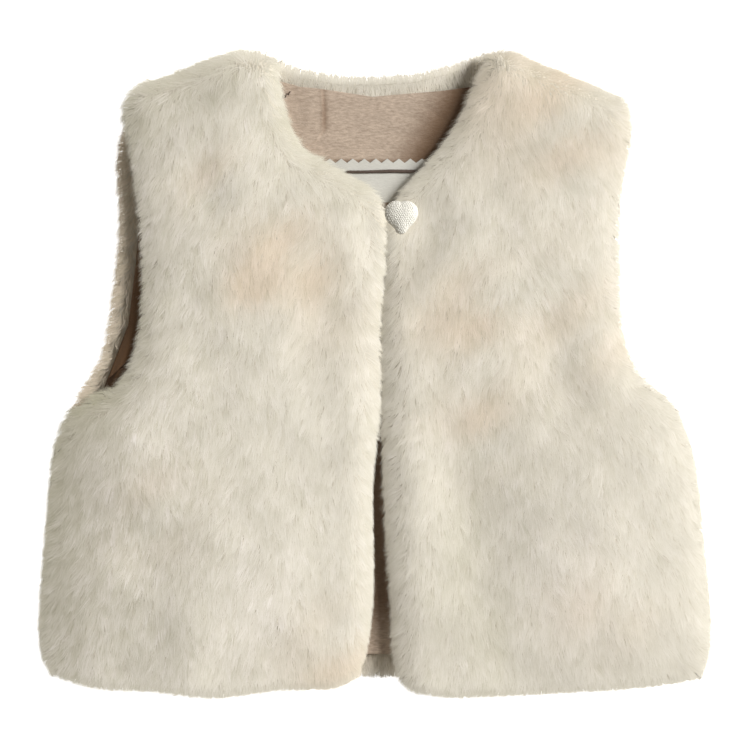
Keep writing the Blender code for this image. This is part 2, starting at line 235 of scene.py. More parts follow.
# How far the pile of each front stands out into the gap between them: (up, reach), in mm, lowest first
GAP_FUZZ = {
    "front_right_fur": ((-160, 1.5), (-60, 1.2), (-44, 2.0), (-30, 4.6), (70, 4.6), (84, 2.6)),
    "front_left_fur": ((-160, 3.2), (-60, 4.4), (-30, 4.6), (60, 4.6), (84, 2.6)),
}
GAP_SIDE = {"front_right_fur": 1.0, "front_left_fur": -1.0}  # the way across that the gap lies
GAP_WIDTH = 40.0 * MM  # nothing further from the middle faces the gap
GAP_FACING = 0.3  # and nothing that faces across less than this
GAP_FUZZ_LEAST = 0.4  # least that tips stand out there, as a share of the reach

# Blush in the pile: (across, up, reach, strength), in mm
BLUSH = (
    (-63, 53, 15, 0.8),
    (-50, 61, 16, 0.9),
    (-35, 70, 15, 0.8),
    (-24, 50, 16, 0.6),
    (-22, 22, 16, 0.5),
    (30, 40, 20, 0.85),
    (54, 35, 18, 0.7),
    (73, 134, 30, 0.85),
    (102, 118, 24, 0.6),
    (100, 28, 34, 0.5),
    (-80, 100, 18, 0.6),
    (-22, -136, 26, 0.6),
    (50, -22, 22, 0.6),
    (-110, -60, 24, 0.35),
    (110, -110, 26, 0.35),
)
BLUSH_LEVEL = 0.75
BLUSH_WAVE = (0.45, 30 * MM)  # how uneven it is, and over what length

# Colours, linear
# A strand's root colour is darker than its tip's: partly the fur's own colour, partly painted shade for the
# shadows that the strands don't cast
FUR_ROOT_AND_SHADE = (0.59, 0.53, 0.415, 1.0)
FUR_TIP = (0.88, 0.845, 0.75, 1.0)
# Blush of the fur, and on the back's sides painted warm shade
FUR_BLUSH_AND_WARM_SHADE = (0.985, 0.91, 0.845, 1.0)
FUR_TRANSLUCENCY = 0.25
# The undercoat: the pile's base colour, darkened as painted shade for the strands that cast none on it
UNDERCOAT_DARK = (0.56, 0.505, 0.395, 1.0)
UNDERCOAT_LIGHT = (0.68, 0.63, 0.525, 1.0)
LINING_LIGHT = (0.66, 0.54, 0.43, 1.0)
LINING_DARK = (0.40, 0.31, 0.24, 1.0)
# Colour of the painted shade on the linings, in the pleat's fold and in the hollows
PAINTED_SHADE_DARK = (0.13, 0.065, 0.026, 1.0)
LABEL_WHITE = (0.70, 0.685, 0.625, 1.0)
LABEL_SHADE = (0.62, 0.605, 0.545, 1.0)
LINING_PATCH_DARK = (0.90, 0.89, 0.88, 1.0)
LINING_PATCH_LIGHT = (1.04, 1.03, 1.02, 1.0)
THREAD_BROWN = (0.075, 0.05, 0.036, 1.0)
THREAD_LIGHT = (0.165, 0.11, 0.0792, 1.0)
PEARL = (0.90, 0.875, 0.79, 1.0)
PEARL_DARK = (0.72, 0.70, 0.632, 1.0)
# The setting under the beads: their pearl a little darker, partly its own colour, partly painted shade
# between the beads
SETTING_PEARL_SHADED = (0.86, 0.835, 0.75, 1.0)
SETTING_PEARL_SHADED_DARK = (0.688, 0.668, 0.60, 1.0)
SHEEN_TINT = (1.0, 0.98, 0.94, 1.0)

# Patterns: a noise (scale, detail, stretch along each axis), its ramp, and the darker and lighter colour
NARROW = (0.3, 0.7)
WIDE = (0.25, 0.75)
PLAIN = (1.0, 1.0, 1.0)
STREAKS = ((900.0, 3.0, (1.0, 0.25, 1.0)), NARROW, UNDERCOAT_DARK, UNDERCOAT_LIGHT)
MARL = ((520.0, 6.0, (0.75, 2.2, 2.2)), WIDE, LINING_DARK, LINING_LIGHT)
PATCHES = ((110.0, 3.0, (0.7, 1.6, 1.0)), WIDE, LINING_PATCH_DARK, LINING_PATCH_LIGHT)
RIBS = ((1400.0, 2.0, (0.35, 2.4, 1.0)), NARROW, LABEL_SHADE, LABEL_WHITE)
TWIST = ((2600.0, 2.0, PLAIN), (0.3, 0.8), THREAD_BROWN, THREAD_LIGHT)
BEAD_CLOUD = ((1800.0, 2.0, PLAIN), NARROW, PEARL_DARK, PEARL)
SETTING_CLOUD = ((1800.0, 2.0, PLAIN), NARROW, SETTING_PEARL_SHADED_DARK, SETTING_PEARL_SHADED)
KNIT = (1300.0, 2.0, (0.8, 1.8, 1.0))  # a noise alone, for the jersey's relief
KNIT_RELIEF = 0.14 * MM

# Finishes of the materials, and cloths of one pattern: (pattern, relief, finish)
STRAND_FINISH = {
    "Roughness": 0.7, "Specular IOR Level": 0.25, "Sheen Weight": 0.12, "Sheen Roughness": 0.45,
    "Sheen Tint": SHEEN_TINT,
}
JERSEY_FINISH = {"Roughness": 0.9, "Specular IOR Level": 0.2, "Sheen Weight": 0.15}
BEAD_FINISH = {"Specular IOR Level": 0.35, "Coat Weight": 0.12, "Coat Roughness": 0.25}
CLOTHS = {
    "fur_undercoat": (STREAKS, 0.6 * MM, {"Roughness": 0.95, "Sheen Weight": 0.2}),
    "woven_tape": (RIBS, 0.1 * MM, {"Roughness": 0.62, "Specular IOR Level": 0.35, "Sheen Weight": 0.2}),
    "brown_thread": (TWIST, 0.05 * MM, {"Roughness": 0.5, "Specular IOR Level": 0.4, "Sheen Weight": 0.2}),
}
BEADS = {"bead_setting": (SETTING_CLOUD, 0.6), "seed_bead": (BEAD_CLOUD, 0.38)}  # pattern and roughness

# Edge of the pleat in the back lining beside the neck: (up, across), in mm, lowest first
PLEAT_EDGE = (
    (108, -60), (111.5, -45), (114, -35), (117, -29.5), (122, -26.6), (130, -26.4), (139, -27.2), (150, -28.5)
)
PLEAT_RISE = 0.4 * MM
PLEAT_FALL = (5 * MM, 16 * MM)  # where the pleat sinks back into the lining, from its edge
PLEAT_STEP = 1.2 * MM  # width of the drop at its edge

# Soft creases of the lining: (across, up, turn in degrees, length, width, depth), in mm
LINING_CREASES = (
    (-6, 129, 10, 30, 2.6, 0.40),
    (20, 119, -7, 26, 2.4, 0.34),
    (4, 113, 4, 38, 2.0, 0.26),
    (-22, 111, 24, 17, 1.9, 0.34),
    (29, 131, -24, 20, 2.3, 0.36),
    (-14, 137, 6, 22, 1.8, 0.25),
    (7, 138, -10, 18, 1.7, 0.22),
    (3, -112, 82, 40, 3.0, 0.45),
    (0, -134, 12, 16, 2.4, 0.40),
    (-123, 60, 78, 36, 3.0, 0.45),
)
CREASE_SINK = 0.6  # share of its depth that a crease really sinks
CREASE_WAVE = (0.6 * MM, 7 * MM)  # how far a crease winds, and over what length
PLEAT_SHADOW_LINE = (1.1 * MM, 1.9 * MM, 0.6)  # middle and width of the painted shadow line beside it, and how dark
PLEAT_SHADOW_LINE_ENDS = ((117 * MM, 126 * MM), (129 * MM, 148 * MM))  # where it fades in and out
ARMHOLE_SHADE = 0.95  # how much painted shade darkens the lining deep in the armhole
ARMHOLE_SIDE = (-108 * MM, -95 * MM)
GAP_SHADE = 0.7  # and deep in the gap between the fronts, above the hem
GAP_SHADE_ENDS = ((-136 * MM, -112 * MM), (20 * MM, 70 * MM))
NECK_SHADE = 0.86  # and beside the right edge of the neck, as painted shadow of the front's fur
NECK_SHADE_FROM = (-27 * MM, -3 * MM)
NECK_EDGE = ((92, 144), (19, 48))  # that edge: how far up and how far across its two ends are, in mm
TEETH_SHADE = 0.6  # and behind the label's top, as painted shadow of its teeth
TEETH_SHADE_ENDS = (-1.4 * MM, 0.7 * MM)  # where that starts to fade and is gone, from the top of its teeth
LINING_SINK = 1.3 * MM  # how far the back lining's edge sinks into the pile at the armhole
LINING_SINK_REACH = 4.0 * MM
LINING_CELL = 1.1 * MM  # size of the lining's triangles where it shows
PLEAT_CELL = 0.5 * MM  # and beside the pleat's edge
PLEAT_BAND = (-3.5 * MM, 1.5 * MM)
COARSE_CELL = 1.0  # where it is hidden nothing is split
LONG_EDGE = 1.5  # how much longer than its cell an edge is before it is split
REFINE_ROUNDS = 8
# How much higher than its solid the top of the back lining lies: (across, up), in mm
LINING_LIFT = ((-50, 4.0), (-27, 3.8), (3, 2.0), (34, 0.0))
LINING_LIFT_FROM = (124 * MM, 138 * MM)
# Where the neck, the front gap and the armhole show the linings: low and high corner, in mm
LINING_WINDOWS = (((-52, 92), (54, 152)), ((-12, -162), (14, 60)), ((-140, 0), (-104, 112)))

# Label
LABEL_TEETH = 9
LABEL_TOOTH_DEPTH = 2.2 * MM
LABEL_STEPS = (12, 30)  # columns for each tooth, and rows
LABEL_WAVE = 0.12 * MM
LABEL_WAVE_LENGTH = 16 * MM
STRIPE_ENDS = (-14.0 * MM, 22.0 * MM)
STRIPE_UP = 101.4 * MM
STRIPE_WIDTH = 1.5 * MM
STRIPE_WIND = (0.18 * MM, 6 * MM)  # how far it winds, and over what length
STRIPE_SWELL = (0.12, 9 * MM)  # how much its width swells, and over what length
STRIPE_WIDTHS = (0.88, 1.1)  # shares of its width
STRIPE_JITTER = 0.04 * MM
STITCH_SLANT = 0.1 * MM
STITCH_ARCH = 0.14 * MM
STITCH_STATIONS = 5
STITCH_PITCH = 0.36 * MM
STITCH_RADIUS = 0.21 * MM
STITCH_SIDES = 6

# Three tacking stitches at the end of the neck seam: (across, up, turn in degrees, length), in mm
TACKS = ((-46.2, 138.6, 63, 2.2), (-44.5, 139.6, 66, 2.5), (-42.9, 140.8, 60, 2.2))
TACK_RADIUS = 0.2 * MM
TACK_ARCH = 0.5 * MM

# Beads of the button
BEAD_PITCH = 1.1 * MM
BEAD_RADIUS = 0.6 * MM
BEAD_TONES = (0.92, 1.03)
BEAD_SIZES = (0.92, 1.06)  # shares of the radius
BEAD_ROUNDNESS = 2  # how often the faces of a bead's ball are split
BEAD_EDGE = 1.0 * MM  # no bead is set lower than this above the button's back
BEAD_JITTER = 0.15 * MM
BEAD_SINK = 0.46 * MM  # how far a bead's middle lies below the button's face
BUTTON_CORE = 0.1 * MM  # how far the core that the beads are set in lies below that face

# Light: one large lamp far to the right and low, and a pale room
KEY_PLACE = (4.9, 1.3, 3.1)
KEY_SIZE = 2.2
KEY_POWER = 505.0
ROOM_LIGHT = 0.2
ROOM_COLOUR = (1.0, 0.94, 0.86, 1.0)
FLOOR_SIZE = 2.0
FLOOR_FINISH = {
    "Base Color": (0.9, 0.9, 0.9, 1.0), "Roughness": 0.9, "Emission Strength": 0.95,
    "Emission Color": (1.0, 1.0, 1.0, 1.0),
}


def rng_for(number):
    return np.random.default_rng(number)


def unit(vectors):
    return vectors / np.maximum(np.linalg.norm(vectors, axis=-1, keepdims=True), TINY)


def smoothstep(low, high, value):
    t = np.clip((value - low) / (high - low), 0.0, 1.0)
    return t * t * (3 - 2 * t)


def waves(points, length, seed):
    """Smooth uneven values of about -1 to 1 that vary over this length."""
    rng = rng_for(seed)
    directions = unit(rng.normal(size=(WAVE_COUNT, 3)))
    lengths = length * rng.uniform(*WAVE_LENGTHS, WAVE_COUNT)
    phases = rng.uniform(0, 2 * math.pi, WAVE_COUNT)
    total = np.zeros(len(points))
    for direction, size, phase in zip(directions, lengths, phases):
        total += np.sin(points @ direction * (2 * math.pi / size) + phase)
    return total / math.sqrt(WAVE_COUNT)


class Surface:
    """A CAD node's surface with its points joined, for planting strands and for cloth shells."""

    def __init__(self, node):
        self.node = node
        self.mesh = bmesh.new()
        self.mesh.from_mesh(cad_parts[node].data)
        bmesh.ops.remove_doubles(self.mesh, verts=list(self.mesh.verts), dist=JOIN_DISTANCE)
        bmesh.ops.triangulate(self.mesh, faces=list(self.mesh.faces))
        bmesh.ops.recalc_face_normals(self.mesh, faces=list(self.mesh.faces))
        self.read()

    def read(self):
        self.mesh.normal_update()
        self.mesh.verts.index_update()
        self.points = np.array([v.co[:] for v in self.mesh.verts])
        self.normals = np.array([v.normal[:] for v in self.mesh.verts])
        self.triangles = np.array([[v.index for v in f.verts] for f in self.mesh.faces])

    def tree(self):
        return BVHTree.FromBMesh(self.mesh)

    def middles(self):
        return self.points[self.triangles].mean(axis=1)

    def facings(self):
        a, b, c = (self.points[self.triangles[:, k]] for k in range(3))
        return np.cross(b - a, c - a) / 2

    def rim(self):
        """Points of the rim and the ways that they face on the plan."""
        upright = np.abs(self.normals[:, 2]) < RIM_FACING
        facing = self.normals[upright] * (1, 1, 0)
        return self.points[upright], unit(facing)

    def from_rim(self, points):
        """How far points are from the rim on the plan, and the way out there."""
        rim_points, facing = self.rim()
        tree = kdtree.KDTree(len(rim_points))
        for number, point in enumerate(rim_points):
            tree.insert((point[0], point[1], 0.0), number)
        tree.balance()
        distances = np.empty(len(points))
        nearest = np.empty(len(points), int)
        for number, point in enumerate(points):
            _, nearest[number], distances[number] = tree.find((point[0], point[1], 0.0))
        return distances, facing[nearest]

    def scatter(self, count, weights, seed):
        """Evenly spread random points: (points, normals), denser where a triangle's weight is more."""
        rng = rng_for(seed)
        share = np.cumsum(np.linalg.norm(self.facings(), axis=1) * weights)
        picks = (np.arange(count) + rng.random(count)) / count * share[-1]
        chosen = np.clip(np.searchsorted(share, picks), 0, len(share) - 1)
        r1 = np.sqrt(rng.random(count))[:, None]
        r2 = rng.random(count)[:, None]
        mix = np.concatenate([1 - r1, r1 * (1 - r2), r1 * r2], axis=1)
        corners = self.triangles[chosen]
        points = np.einsum("nk,nkd->nd", mix, self.points[corners])
        normals = unit(np.einsum("nk,nkd->nd", mix, self.normals[corners]))
        return points, normals


def link(thing):
    bpy.context.scene.collection.objects.link(thing)
    return thing


def shown(name, mesh, material):
    """A piece of this mesh and material."""
    mesh.materials.clear()
    mesh.materials.append(material)
    return link(bpy.data.objects.new(name, mesh))


def dress(thing):
    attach(thing, "root")


class Nodes:
    """A short way to write a material's nodes."""

    def __init__(self, name):
        self.material = bpy.data.materials.new(name)
        self.material.use_nodes = True
        self.tree = self.material.node_tree
        self.shader = self.tree.nodes["Principled BSDF"]

    def add(self, kind, **values):
        node = self.tree.nodes.new(kind)
        for key, value in values.items():
            setattr(node, key, value)
        return node

    def link(self, source, target):
        self.tree.links.new(source, target)

    def set(self, finish):
        for socket, value in finish.items():
            self.shader.inputs[socket].default_value = value

    def attribute(self, name):
        return self.add("ShaderNodeAttribute", attribute_name=name).outputs["Fac"]

    def mix(self, factor, first, second, blend="MIX"):
        node = self.add("ShaderNodeMix", data_type="RGBA", blend_type=blend)
        for value, socket in ((factor, node.inputs[0]), (first, node.inputs[6]), (second, node.inputs[7])):
            if isinstance(value, bpy.types.NodeSocket):
                self.link(value, socket)
            else:
                socket.default_value = value
        return node.outputs[2]

    def multiply(self, first, second):
        return self.mix(1.0, first, second, "MULTIPLY")

    def two_tone(self, noise, ramp, dark, light):
        """A pattern's noise, and the colour that follows it."""
        pattern = self.noise(*noise)
        return pattern, self.mix(self.ramp(pattern, *ramp), dark, light)

    def tint(self, colour, blue_power):
        """A colour times the tone of each strand or bead, its blue times a power of that."""
        tone = self.add("ShaderNodeCombineColor")
        for channel in ("Red", "Green"):
            self.link(self.attribute("tone"), tone.inputs[channel])
        blue = self.add("ShaderNodeMath", operation="POWER")
        blue.inputs[1].default_value = blue_power
        self.link(self.attribute("tone"), blue.inputs[0])
        self.link(blue.outputs["Value"], tone.inputs["Blue"])
        return self.multiply(colour, tone.outputs["Color"])

    def paint(self, colour):
        self.link(colour, self.shader.inputs["Base Color"])

    def noise(self, scale, detail, stretch):
        where = self.add("ShaderNodeTexCoord").outputs["Object"]
        mapping = self.add("ShaderNodeMapping")
        mapping.inputs["Scale"].default_value = stretch
        self.link(where, mapping.inputs["Vector"])
        node = self.add("ShaderNodeTexNoise")
        node.inputs["Scale"].default_value = scale
        node.inputs["Detail"].default_value = detail
        self.link(mapping.outputs["Vector"], node.inputs["Vector"])
        return node.outputs["Fac"]

    def ramp(self, value, low, high):
        node = self.add("ShaderNodeMapRange")
        node.inputs["From Min"].default_value = low
        node.inputs["From Max"].default_value = high
        self.link(value, node.inputs["Value"])
        return node.outputs["Result"]

    def bump(self, height, distance):
        node = self.add("ShaderNodeBump")
        node.inputs["Distance"].default_value = distance
        self.link(height, node.inputs["Height"])
        self.link(node.outputs["Normal"], self.shader.inputs["Normal"])


def strand_material():
    made = Nodes("fur_strand")
    # Painted shade at the roots: each strand runs from its darker root colour to its tip colour
    colour = made.mix(made.attribute("along"), FUR_ROOT_AND_SHADE, FUR_TIP)
    # Blush, and on the back's sides painted warm shade
    blush_and_shade_colour = made.multiply(colour, FUR_BLUSH_AND_WARM_SHADE)
    colour = made.mix(made.attribute("blush"), colour, blush_and_shade_colour)
    colour = made.tint(colour, TONE_WARMTH)
    made.paint(colour)
    made.set(STRAND_FINISH)
    through = made.add("ShaderNodeBsdfTranslucent")
    made.link(colour, through.inputs["Color"])
    both = made.add("ShaderNodeMixShader")
    both.inputs["Fac"].default_value = FUR_TRANSLUCENCY
    made.link(made.shader.outputs["BSDF"], both.inputs[1])
    made.link(through.outputs["BSDF"], both.inputs[2])
    made.link(both.outputs["Shader"], made.tree.nodes["Material Output"].inputs["Surface"])
    return made.material


def cloth_material(name):
    """A cloth whose colour and relief follow one pattern."""
    pattern, relief, finish = CLOTHS[name]
    made = Nodes(name)
    noise, colour = made.two_tone(*pattern)
    made.paint(colour)
    made.set(finish)
    made.bump(noise, relief)
    return made.material


def jersey_material():
    made = Nodes("marl_jersey")
    _, marl = made.two_tone(*MARL)
    _, patches = made.two_tone(*PATCHES)
    # Painted shade: the jersey darkens to a deep brown in the pleat's fold and in the hollows
    made.paint(made.mix(made.attribute("painted_shade"), made.multiply(marl, patches), PAINTED_SHADE_DARK))
    made.set(JERSEY_FINISH)
    made.bump(made.noise(*KNIT), KNIT_RELIEF)
    return made.material


def bead_material(name):
    pattern, roughness = BEADS[name]
    made = Nodes(name)
    _, cloudy = made.two_tone(*pattern)
    made.paint(made.tint(cloudy, 1.0))
    made.set(BEAD_FINISH | {"Roughness": roughness})
    return made.material


def shell_object(name, surface, moved, material):
    """A cloth shell: the surface's mesh with its points moved."""
    mesh = bpy.data.meshes.new(name)
    surface.mesh.to_mesh(mesh)
    mesh.vertices.foreach_set("co", moved.astype(np.float32).ravel())
    mesh.shade_smooth()
    return shown(name, mesh, material)


def spots(points, rows):
    """Sum of soft spots at these points: rows of (across, up, reach across, reach up, amount), in mm."""
    total = np.zeros(len(points))
    for across, up, reach_across, reach_up, amount in rows:
        aside = (points[:, 0] - across * MM) / (reach_across * MM)
        along = (points[:, 1] - up * MM) / (reach_up * MM)
        total += amount * np.exp(-aside ** 2 - along ** 2)
    return total


def blush_at(points):
    total = spots(points, [(across, up, reach, reach, strength) for across, up, reach, strength in BLUSH])
    amount, length = BLUSH_WAVE
    return np.clip(total * (BLUSH_LEVEL + amount * waves(points, length, BLUSH_SEED)), 0.0, 1.0)


def turned(ways, normals, angles):
    """Ways along the surface, each turned about its normal."""
    sideways = np.cross(normals, ways)
    return ways * np.cos(angles)[:, None] + sideways * np.sin(angles)[:, None]


class Tufts:
    """Locks that strands gather into: where each stands, and where it ends."""

    def __init__(self, roots, normals, ways, heights, reaches, seed):
        rng = rng_for(seed)
        count = len(roots)
        self.roots = roots
        bent = turned(ways, normals, rng.normal(0.0, TUFT_BEND, count))
        self.heights = heights * rng.uniform(*TUFT_HEIGHTS, count)
        self.reaches = reaches * rng.uniform(*TUFT_REACHES, count)
        self.rises = normals * self.heights[:, None]
        self.runs = bent * self.reaches[:, None]
        self.tones = rng.normal(0.0, TUFT_TONE, count)
        self.tree = kdtree.KDTree(count)
        for number, root in enumerate(roots):
            self.tree.insert(root, number)
        self.tree.balance()

    def nearest(self, roots):
        return np.array([self.tree.find(root)[1] for root in roots])


def softened(normals):
    """Normals as the pile is lit: as they are on its top, and less steep at its rims."""
    steep = np.linalg.norm(normals[:, :2], axis=1)
    kept = STEEPEST * np.tanh(steep / STEEPEST)
    soft = normals * (kept / np.maximum(steep, TINY))[:, None]
    soft[:, 2] = np.where(normals[:, 2] < UNDERSIDE, -1, 1) * np.sqrt(1 - kept ** 2)
    return soft


def rim_fuzz(node, places, normals):
    """How far tips may stand out of a solid's rim at these places, least and most."""
    most = RIM_FUZZ[1] + RIM_FUZZ_UPPER * smoothstep(*RIM_FUZZ_WAIST, places[:, 1])
    most += RIM_FUZZ_TOP[node] * np.maximum(normals[:, 1], 0.0)
    least = np.full(len(places), RIM_FUZZ[0])
    if node in GAP_FUZZ:
        ups, reaches = np.array(GAP_FUZZ[node]).T * MM
        inner = normals[:, 0] * GAP_SIDE[node] > GAP_FACING
        inner &= (np.abs(places[:, 0]) < GAP_WIDTH) & (places[:, 1] < ups[-1])
        reach = np.interp(places[:, 1], ups, reaches)
        most = np.where(inner, reach, most)
        least = np.where(inner, GAP_FUZZ_LEAST * reach, least)
    return least, most


def too_far(points, node, tree, shares):
    """Whether points stand further out of a solid than they may."""
    found = [tree.find_nearest(Vector(point))[:2] for point in points]
    nearest = np.array([place[:] for place, _ in found])
    normals = np.array([normal[:] for _, normal in found])
    outward = points - nearest
    outside = np.einsum("nd,nd->n", outward, normals) > 0
    level = np.maximum(normals[:, 2], 0.0) ** 2
    few = shares ** RIM_FUZZ_POWER
    least, furthest = rim_fuzz(node, nearest, normals)
    at_rim = least + (furthest - least) * few
    on_top = TOP_FUZZ[0] + (TOP_FUZZ[1] - TOP_FUZZ[0]) * few
    return outside & (np.linalg.norm(outward, axis=1) > at_rim * (1 - level) + on_top * level)


def shortened(centres, uprights, node, tree, shares):
    """Stations of strands, drawn in to where they stand upright as far as a tip would stand out too far."""
    kept = np.ones(len(shares))
    far = np.flatnonzero(too_far(centres[-1], node, tree, shares))
    low = np.zeros(len(far))
    high = np.ones(len(far))
    spread = (centres[-1] - uprights[-1])[far]
    for _ in range(HOLD_STEPS):
        middle = (low + high) / 2
        out = too_far(uprights[-1][far] + spread * middle[:, None], node, tree, shares[far])
        low = np.where(out, low, middle)
        high = np.where(out, middle, high)
    kept[far] = low
    return [upright + (centre - upright) * kept[:, None] for centre, upright in zip(centres, uprights)]


def cloud_slopes(points):
    """How the pile's soft clouds slope across and up at these points."""
    slopes = np.zeros_like(points)
    for axis in range(2):
        ahead = np.zeros(3)
        ahead[axis] = CLOUD_STEP
        after = waves(points + ahead, CLOUD_LENGTH, CLOUD_SEED)
        before = waves(points - ahead, CLOUD_LENGTH, CLOUD_SEED)
        slopes[:, axis] = (after - before) * CLOUD_HEIGHT / (2 * CLOUD_STEP)
    return slopes


def strand_mesh(name, surface, tufts, pile, material, seed):
    """Ribbons from roots to tips as one mesh.

    Of the pile's fields, normals are the solid's, lit those that it is shaded with, places how light each
    strand is at its root, from 0 for the root's colour, which is partly painted shade, to 1 for the tip's,
    and shares how far out each may stand, from the least to the most.
    """
    rng = rng_for(seed)
    roots = pile.roots
    count = len(roots)
    stations = len(STRAND_RISE)
    chosen = tufts.nearest(roots)
    offset = roots - tufts.roots[chosen]
    centres = []
    uprights = [roots + pile.rises * rise for rise in STRAND_RISE]
    for upright, rise, run in zip(uprights, STRAND_RISE, STRAND_RUN):
        own = upright + pile.runs * run
        lock = tufts.roots[chosen] + tufts.rises[chosen] * rise + tufts.runs[chosen] * run
        lock = lock + offset * (1 - (1 - TUFT_SPREAD) * run)
        pull = (pile.pulls * run)[:, None]
        centres.append(own * (1 - pull) + lock * pull)
    pile_normals = softened(unit(pile.lit - cloud_slopes(roots)))
    centres = shortened(centres, uprights, surface.node, surface.tree(), pile.shares)
    rolls = rng.uniform(-STRAND_ROLL, STRAND_ROLL, count)
    points = np.empty((count, 2 * stations - 1, 3))
    shading = np.empty((count, 2 * stations - 1, 3))
    for k in range(stations):
        ahead = centres[min(k + 1, stations - 1)] - centres[max(k - 1, 0)]
        side = unit(np.cross(unit(ahead), pile.normals))
        over = unit(np.cross(side, unit(ahead)))
        side = side * np.cos(rolls)[:, None] + over * np.sin(rolls)[:, None]
        soft = unit(unit(np.cross(side, unit(ahead))) + STRAND_SOFTNESS * pile_normals)
        shading[:, 2 * k:2 * k + 2] = soft[:, None, :]
        if k == stations - 1:
            points[:, -1] = centres[k]
        else:
            half = side * (pile.widths * STRAND_TAPER[k] / 2)[:, None]
            points[:, 2 * k] = centres[k] - half
            points[:, 2 * k + 1] = centres[k] + half
    uneven = np.interp(roots[:, 0] / MM, *np.array(UNEVEN).T)
    tones = pile.tones * (1.0 + (tufts.tones[chosen] + rng.normal(0.0, STRAND_TONE, count)) * uneven)
    strands = shown(name, ribbons(name, points, shading, tones, pile.blush, pile.places), material)
    # The strands cast no shadow; the painted shade at their roots stands in for it
    strands.visible_shadow = False
    strands.visible_diffuse = False
    return strands


def ribbons(name, points, shading, tone, blush, places):
    """A mesh of ribbons: pairs of points along each, and a tip."""
    count, each = points.shape[:2]
    quads = (each - 1) // 2 - 1
    corner = []
    for k in range(quads):
        corner += [2 * k, 2 * k + 1, 2 * k + 3, 2 * k + 2]
    corner += [each - 3, each - 2, each - 1]
    loops = (np.array(corner)[None, :] + each * np.arange(count)[:, None]).astype(np.int32)
    sizes = np.tile(np.array([4] * quads + [3], np.int32), count)
    starts = np.concatenate([[0], np.cumsum(sizes)[:-1]]).astype(np.int32)
    mesh = bpy.data.meshes.new(name)
    mesh.vertices.add(count * each)
    mesh.vertices.foreach_set("co", points.astype(np.float32).ravel())
    mesh.loops.add(loops.size)
    mesh.loops.foreach_set("vertex_index", loops.ravel())
    mesh.polygons.add(len(sizes))
    mesh.polygons.foreach_set("loop_start", starts)
    mesh.polygons.foreach_set("loop_total", sizes)
    mesh.update(calc_edges=True)
    # How far each point runs from the root's colour, partly painted shade, to the tip's
    climb = np.array([min(k // 2 / quads, 1.0) for k in range(each - 1)])
    along = np.ones((count, each))
    along[:, :-1] = places[:, None] + (np.maximum(STRAND_BEND, places) - places)[:, None] * climb
    store(mesh, "along", along.ravel())
    store(mesh, "tone", np.repeat(tone, each))
    store(mesh, "blush", np.repeat(blush, each))
    spread_uv(mesh, points, loops, each)
    mesh.shade_smooth()
    mesh.normals_split_custom_set_from_vertices(shading.reshape(-1, 3))
    return mesh


def store(mesh, name, values):
    mesh.attributes.new(name, "FLOAT", "POINT").data.foreach_set("value", values.astype(np.float32))


def spread_uv(mesh, points, loops, each):
    """Gives each ribbon a cell of the texture of its own, with neighbours side by side."""
    count = len(points)
    columns = math.ceil(math.sqrt(count))
    order = np.lexsort((points[:, 0, 0], np.floor(points[:, 0, 1] / UV_ROW)))
    cell = np.empty(count, int)
    cell[order] = np.arange(count)
    low = np.stack([cell % columns, cell // columns], axis=1) / columns
    pairs = (each - 1) // 2
    across = np.array(list(UV_SIDES) * pairs + [UV_TIP[0]])
    up = np.array([UV_ROOT + UV_CLIMB * (k // 2) / pairs for k in range(each - 1)] + [UV_TIP[1]])
    place = low[:, None, :] + np.stack([across, up], axis=1)[None, :, :] / columns
    layer = mesh.uv_layers.new(name="OFBake")
    layer.data.foreach_set("uv", place.reshape(-1, 2)[loops.ravel()].astype(np.float32).ravel())


def laid(ways, normals):
    """Ways along the surface that are nearest to these."""
    return unit(ways - np.einsum("nd,nd->n", ways, normals)[:, None] * normals)


def flow_down(points, normals, seed):
    """Way that a front's pile lies: to the hem, a little outwards towards the sides, and uneven."""
    across = points[:, 0] / FLOW_WIDTH
    lean = FLOW_OUT * across * np.abs(across)
    for number, (amount, length) in enumerate(FLOW_WAVES):
        lean += amount * waves(points, length, seed + number)
    ways = np.stack([lean, -np.ones(len(points)), np.full(len(points), -FLOW_SINK)], axis=1)
    return laid(ways, normals)


def front_ways(surface, points, normals, most_turn, seed):
    """Way that a front's pile lies: to the hem, and turning outwards near its rim."""
    distance, outward = surface.from_rim(points)
    amount, length = RIM_TURN_WAVE
    turn = most_turn * (1 - smoothstep(0.0, RIM_TURN_REACH, distance))
    turn *= 1 + amount * waves(points, length, seed + 5)
    return laid(flow_down(points, normals, seed) + outward * turn[:, None], normals)


def densities(surface, underside, shares):
    """How densely strands grow on each triangle."""
    facing_up = unit(surface.facings())[:, 2]
    top, rim, under = shares
    return np.where(facing_up > TOPSIDE, top, np.where(facing_up > underside, rim, under))


def front_undercoat(surface, material):
    """Shell under a front's pile, drawn in at its rim."""
    distance, outward = surface.from_rim(surface.points)
    inner = smoothstep(*INNER_FACING, outward[:, 0] * GAP_SIDE[surface.node])
    inset = RIM_UNDERCOAT + (INNER_UNDERCOAT - RIM_UNDERCOAT) * inner
    inset *= 1 - smoothstep(0.0, UNDERCOAT_EASE, distance)
    moved = surface.points - outward * inset[:, None]
    moved[:, 2] -= FRONT_UNDERCOAT * smoothstep(*UNDERCOAT_LEVELS, surface.normals[:, 2])
    return shell_object(surface.node + "_undercoat", surface, moved, material)


def front_tufts(surface, weights, seed):
    total = np.sum(np.linalg.norm(surface.facings(), axis=1) * weights)
    points, normals = surface.scatter(int(total / TUFT_AREA), weights, seed)
    ways = front_ways(surface, points, normals, RIM_TURN, seed + 1)
    heights = np.full(len(points), FRONT_PILE)
    reaches = np.full(len(points), STRAND_REACH)
    return Tufts(points - normals * FRONT_PILE, normals, ways, heights, reaches, seed + 2)


